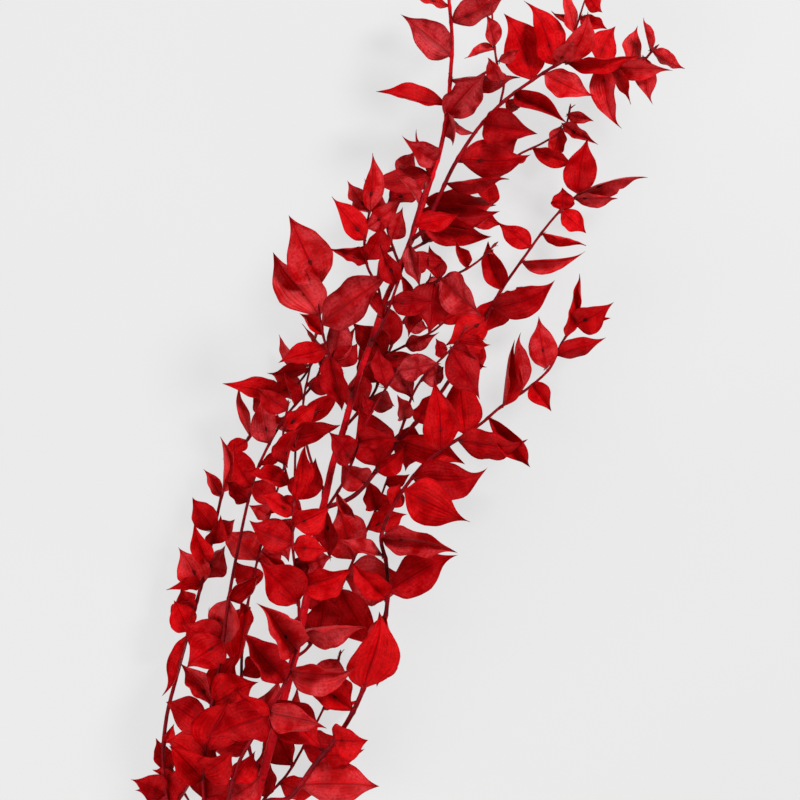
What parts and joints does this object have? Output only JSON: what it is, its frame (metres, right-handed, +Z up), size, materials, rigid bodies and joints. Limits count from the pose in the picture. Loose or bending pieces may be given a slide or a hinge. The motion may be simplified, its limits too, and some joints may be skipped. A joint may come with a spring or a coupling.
{
  "type": "dried foliage stem",
  "caption": "Cut stem of dried, red-dyed ruscus with leafy side shoots, lying flat as decoration or as filler for a vase or wreath.",
  "frame": {"origin": "on the surface the stem lies on, under the middle of its bounding box", "axes": "+Y along the spray's long axis from the cut end to the leafy tip, +Z up from the surface, +X to the right seen from above with the tip at the top"},
  "size_m": [0.2227, 0.6874, 0.0984],
  "materials": {
    "stem": "dyed, dull satin",
    "leaf": "dyed, matte with a soft sheen"
  },
  "bodies": {
    "root": {"main_stem": "stem", "leafy_shoot_01": "leaf", "leafy_shoot_02": "leaf", "leafy_shoot_03": "leaf", "leafy_shoot_04": "leaf", "leafy_shoot_05": "leaf", "leafy_shoot_06": "leaf", "leafy_shoot_07": "leaf", "leafy_shoot_08": "leaf", "leafy_shoot_09": "leaf", "leafy_shoot_10": "leaf", "leafy_shoot_11": "leaf", "leafy_shoot_12": "leaf", "leafy_shoot_13": "leaf", "leafy_shoot_14": "leaf", "leafy_shoot_15": "leaf", "leafy_shoot_16": "leaf", "leafy_shoot_17": "leaf", "leafy_shoot_18": "leaf", "leafy_shoot_19": "leaf", "leafy_shoot_20": "leaf", "leafy_shoot_21": "leaf"}
  },
  "joints": []
}
